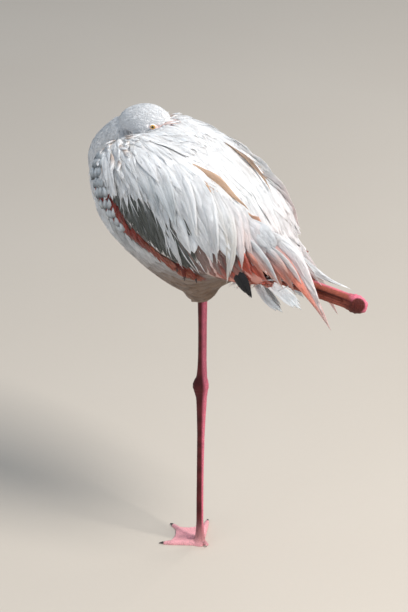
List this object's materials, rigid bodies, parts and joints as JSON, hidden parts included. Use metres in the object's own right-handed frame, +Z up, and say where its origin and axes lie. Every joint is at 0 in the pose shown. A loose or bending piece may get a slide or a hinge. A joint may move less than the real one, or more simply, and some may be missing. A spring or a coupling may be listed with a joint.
{
  "type": "sleeping greater flamingo model",
  "caption": "Life-size still model of an adult greater flamingo asleep on one leg, its head laid on its back and the other leg folded against the belly.",
  "frame": {"origin": "on the sole of the standing foot, under the axis of the standing leg, at floor level", "axes": "+X is the way the breast faces, +Y is the bird's left, +Z is up"},
  "size_m": [0.5483, 0.2438, 0.8133],
  "materials": {
    "plumage": "soft overlapping white feathers, warm white above and faintly rosy behind",
    "rose_plumage": "white feathers that turn salmon pink towards their edges and tips",
    "flight_feathers": "black flight feathers with a faint sheen",
    "leg_skin": "pink to dark red scaly skin",
    "foot_skin": "pale pink webbed skin with fine scales",
    "claw": "dark glossy horn",
    "bill": "pale pink horn with a black tip",
    "eye": "wet pale yellow iris with a dark pupil"
  },
  "bodies": {
    "root": {"head": "plumage", "eye_left": "eye", "eye_right": "eye", "bill_upper": "bill", "bill_lower": "bill", "neck_lower": "plumage", "neck_middle": "plumage", "neck_upper": "plumage", "trunk": "plumage", "wing_left": "plumage", "primaries_left": "flight_feathers", "tertials_left": "rose_plumage", "inner_tertials_left": "rose_plumage", "wing_right": "plumage", "primaries_right": "flight_feathers", "tertials_right": "rose_plumage", "inner_tertials_right": "rose_plumage", "tail": "plumage", "thigh_right": "plumage", "shank_left": "leg_skin", "tarsus_left": "leg_skin", "ankle_left": "leg_skin", "foot_left": "foot_skin", "claw_middle_left": "claw", "claw_outer_left": "claw", "claw_inner_left": "claw", "shank_right": "leg_skin", "ankle_right": "leg_skin", "tarsus_right": "leg_skin", "foot_right": "foot_skin", "claw_middle_right": "claw", "claw_outer_right": "claw", "claw_inner_right": "claw"}
  },
  "joints": []
}
